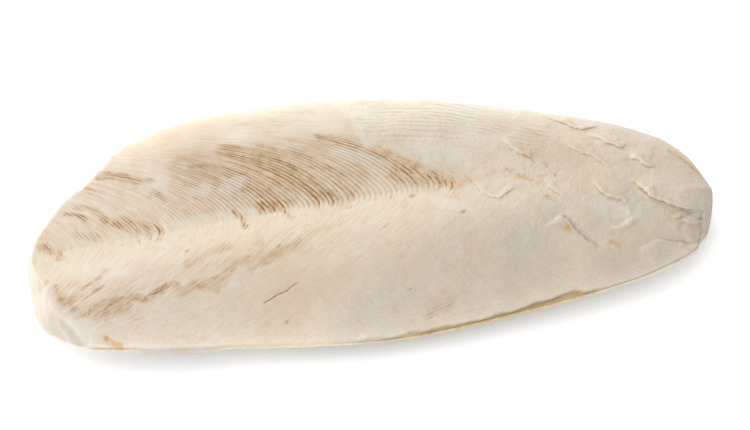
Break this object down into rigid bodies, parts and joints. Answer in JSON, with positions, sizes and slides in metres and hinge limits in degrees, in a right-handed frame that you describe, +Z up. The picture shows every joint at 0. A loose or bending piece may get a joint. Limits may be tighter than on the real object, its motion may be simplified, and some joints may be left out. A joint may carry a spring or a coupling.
{
  "type": "cuttlebone",
  "caption": "Whole cuttlebone lying on its hard back: a long chalky oval with a ridged groove behind and a smooth, flaked front.",
  "frame": {"origin": "on the surface the bone rests on, below the middle of its box", "axes": "+X towards the front end, along the bone; +Y across the bone, towards the side seen at the top of the picture; +Z up, out of the soft face"},
  "size_m": [0.1794, 0.0746, 0.019],
  "materials": {
    "chalk": "matte"
  },
  "bodies": {
    "root": {"cuttlebone": "chalk"}
  },
  "joints": []
}
